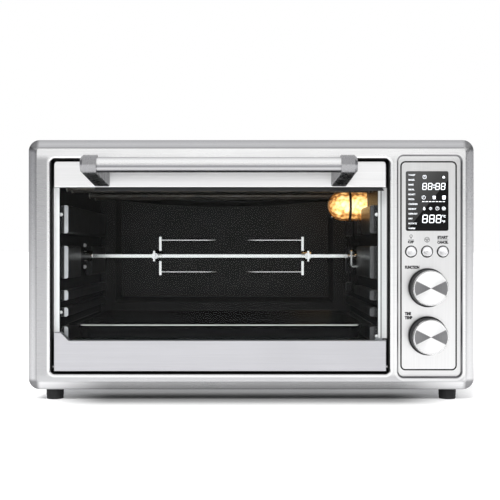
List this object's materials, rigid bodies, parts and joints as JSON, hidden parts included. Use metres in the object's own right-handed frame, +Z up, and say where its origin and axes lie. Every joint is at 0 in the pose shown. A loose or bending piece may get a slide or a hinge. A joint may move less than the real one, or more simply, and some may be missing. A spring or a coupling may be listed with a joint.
{
  "type": "toaster oven",
  "caption": "Countertop toaster oven with a drop-down glass door, bar handle, rotisserie, convection fan, display, keys and turning knobs.",
  "frame": {"origin": "centre of the footprint, on the surface the feet stand on", "axes": "+X to the oven's right as its user faces it, +Y from the door to the back, +Z up"},
  "size_m": [0.482, 0.404, 0.2816],
  "materials": {
    "frame_steel": "brushed along the width, clear coat",
    "casing_steel": "satin brushed sheet",
    "zinc_steel": "bright zinc-plated sheet",
    "black_plastic": "fine matt texture",
    "black_rubber": "matt",
    "screw_steel": "bright plated",
    "cavity_steel": "dark non-stick coating, satin",
    "heater_steel": "oxidised steel sheath",
    "white_ceramic": "unglazed",
    "lamp_glass": "clear, slightly ribbed",
    "dark_steel": "dark satin",
    "bulb_glow": "lit warm white",
    "spit_steel": "bright plated",
    "tray_enamel": "dark gloss non-stick enamel",
    "rail_steel": "brushed along the width",
    "door_glass": "clear tempered",
    "handle_steel": "brushed along its length",
    "handle_cap_metal": "bead-blasted satin",
    "spring_steel": "plated wire",
    "fascia_steel": "brushed upright",
    "display_black": "black glass-like",
    "display_glow": "white segment display",
    "board_green": "solder-masked board",
    "button_chrome": "bright",
    "knob_metal": "turned face, brushed in circles"
  },
  "bodies": {
    "oven": {"front_frame": "frame_steel", "outer_shell": "casing_steel", "back_panel": "casing_steel", "base_plate": "zinc_steel", "cord_gland": "black_plastic", "rear_bumpers": "black_rubber", "case_screws": "screw_steel", "feet": "black_rubber", "face_plate": "cavity_steel", "cavity_left_wall": "cavity_steel", "cavity_right_wall": "cavity_steel", "cavity_ceiling": "cavity_steel", "cavity_floor": "cavity_steel", "cavity_back_wall": "cavity_steel", "rack_guides": "cavity_steel", "cavity_rivets": "screw_steel", "heating_elements": "heater_steel", "heater_bushings": "white_ceramic", "lamp_lens": "lamp_glass", "lamp_ring": "dark_steel", "lamp_bulb": "bulb_glow", "lamp_socket": "white_ceramic", "temperature_probe": "spit_steel", "fan_housing": "zinc_steel", "fan_motor": "dark_steel", "rotisserie_motor": "dark_steel", "spit_support": "spit_steel", "hinge_brackets": "zinc_steel", "door_springs": "spring_steel", "control_fascia": "fascia_steel", "display_window": "display_black", "control_carrier": "black_plastic", "display_module": "display_glow", "control_board": "board_green", "knob_encoders": "dark_steel"},
    "door": {"door_top_rail": "rail_steel", "door_bottom_rail": "rail_steel", "door_glass": "door_glass", "glass_gaskets": "black_rubber", "handle_tube": "handle_steel", "handle_bracket_left": "handle_cap_metal", "handle_bracket_right": "handle_cap_metal", "handle_screws": "screw_steel", "hinge_pins": "screw_steel", "hinge_arms": "zinc_steel"},
    "spit": {"spit_socket": "spit_steel", "spit_rod": "spit_steel", "spit_forks": "spit_steel", "fork_screws": "spit_steel"},
    "fan": {"fan_blades": "zinc_steel", "fan_shaft": "spit_steel"},
    "function_dial": {"function_knob": "knob_metal", "function_shaft": "spit_steel"},
    "setting_dial": {"setting_knob": "knob_metal", "setting_shaft": "spit_steel"},
    "light_key": {"light_button": "button_chrome"},
    "fan_key": {"fan_button": "button_chrome"},
    "start_key": {"start_button": "button_chrome"},
    "pan": {"food_tray": "tray_enamel"},
    "crumbs": {"crumb_tray": "zinc_steel"}
  },
  "joints": [
    {"name": "door_hinge", "type": "hinge", "parent": "oven", "child": "door", "pos_m": [0, -0.1455, 0.036], "axis": [1, 0, 0], "range_deg": [0, 84]},
    {"name": "spit_spin", "type": "hinge", "parent": "oven", "child": "spit", "pos_m": [0, 0.02, 0.155], "axis": [1, 0, 0], "continuous": true},
    {"name": "fan_spin", "type": "hinge", "parent": "oven", "child": "fan", "pos_m": [0.155, 0.085, 0.15], "axis": [1, 0, 0], "continuous": true},
    {"name": "function_knob_turn", "type": "hinge", "parent": "oven", "child": "function_dial", "pos_m": [0.1906, -0.16, 0.1218], "axis": [0, 1, 0], "continuous": true},
    {"name": "setting_knob_turn", "type": "hinge", "parent": "oven", "child": "setting_dial", "pos_m": [0.1906, -0.16, 0.0699], "axis": [0, 1, 0], "continuous": true},
    {"name": "light_button_press", "type": "slide", "parent": "oven", "child": "light_key", "axis": [0, 1, 0], "range_m": [0, 0.0012], "stiffness_N_per_m": 300},
    {"name": "fan_button_press", "type": "slide", "parent": "oven", "child": "fan_key", "axis": [0, 1, 0], "range_m": [0, 0.0012], "stiffness_N_per_m": 300},
    {"name": "start_button_press", "type": "slide", "parent": "oven", "child": "start_key", "axis": [0, 1, 0], "range_m": [0, 0.0012], "stiffness_N_per_m": 300},
    {"name": "food_tray_slide", "type": "slide", "parent": "oven", "child": "pan", "axis": [0, -1, 0], "range_m": [0, 0.077]},
    {"name": "crumb_tray_slide", "type": "slide", "parent": "oven", "child": "crumbs", "axis": [0, -1, 0], "range_m": [0, 0.028]}
  ],
  "couplings": [
    {"joint": "food_tray_slide", "follows": "door_hinge", "m_per_rad": 0.052},
    {"joint": "crumb_tray_slide", "follows": "door_hinge", "m_per_rad": 0.019}
  ]
}
